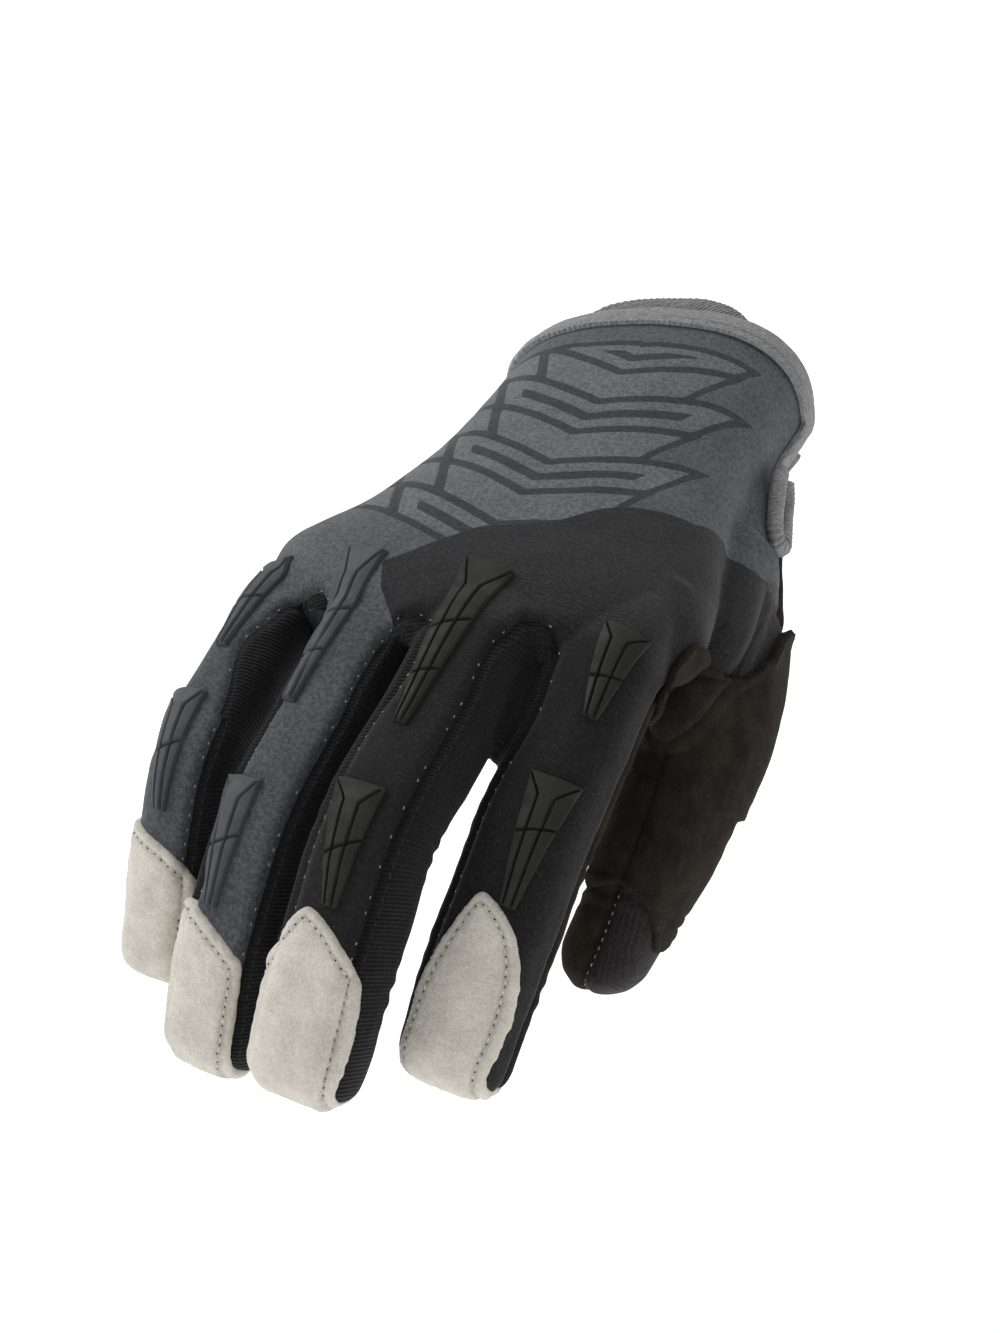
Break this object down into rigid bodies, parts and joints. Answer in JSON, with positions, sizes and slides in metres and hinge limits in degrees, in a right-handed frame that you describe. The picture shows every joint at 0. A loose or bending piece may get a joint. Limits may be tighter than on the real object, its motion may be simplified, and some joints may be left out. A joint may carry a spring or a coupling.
{
  "type": "motocross glove",
  "caption": "Right-hand motocross glove in its worn shape, back of the hand up, with rubber strips on the knuckles, suede fingertips, a bound cuff and a pull loop.",
  "frame": {"origin": "middle of the cuff's opening, where the wrist goes in", "axes": "+Y out of the cuff towards the forearm, so the fingers point along -Y; +Z out of the back of the hand; +X towards the thumb"},
  "size_m": [0.1099, 0.2084, 0.0987],
  "materials": {
    "back_fabric": "matt stretch fabric with a darker printed pattern",
    "black_fabric": "matt knitted fabric",
    "side_fabric": "ribbed stretch fabric",
    "palm_suede": "matt synthetic suede",
    "thumb_suede": "matt synthetic suede",
    "light_suede": "brushed synthetic suede",
    "black_rubber": "satin moulded rubber",
    "grey_rubber": "satin moulded rubber",
    "binding_tape": "knitted elastic tape",
    "ribbed_elastic": "ribbed elastic",
    "loop_cord": "knitted cord"
  },
  "bodies": {
    "root": {"back_panel": "back_fabric", "palm_panel": "palm_suede", "fourchette_index_middle": "side_fabric", "fourchette_middle_ring": "side_fabric", "fourchette_ring_pinky": "side_fabric", "thumb_back": "black_fabric", "thumb_palm": "palm_suede", "thumb_overlay": "thumb_suede", "tip_patch_index": "light_suede", "tip_patch_middle": "light_suede", "tip_patch_ring": "light_suede", "tip_patch_pinky": "light_suede", "knuckle_strip_index": "black_rubber", "knuckle_strip_middle": "black_rubber", "knuckle_strip_ring": "grey_rubber", "knuckle_strip_pinky": "grey_rubber", "finger_strip_index": "black_rubber", "finger_strip_middle": "black_rubber", "finger_strip_ring": "grey_rubber", "finger_strip_pinky": "grey_rubber", "cuff_binding": "binding_tape", "cuff_rib": "ribbed_elastic", "pull_loop": "loop_cord"}
  },
  "joints": []
}
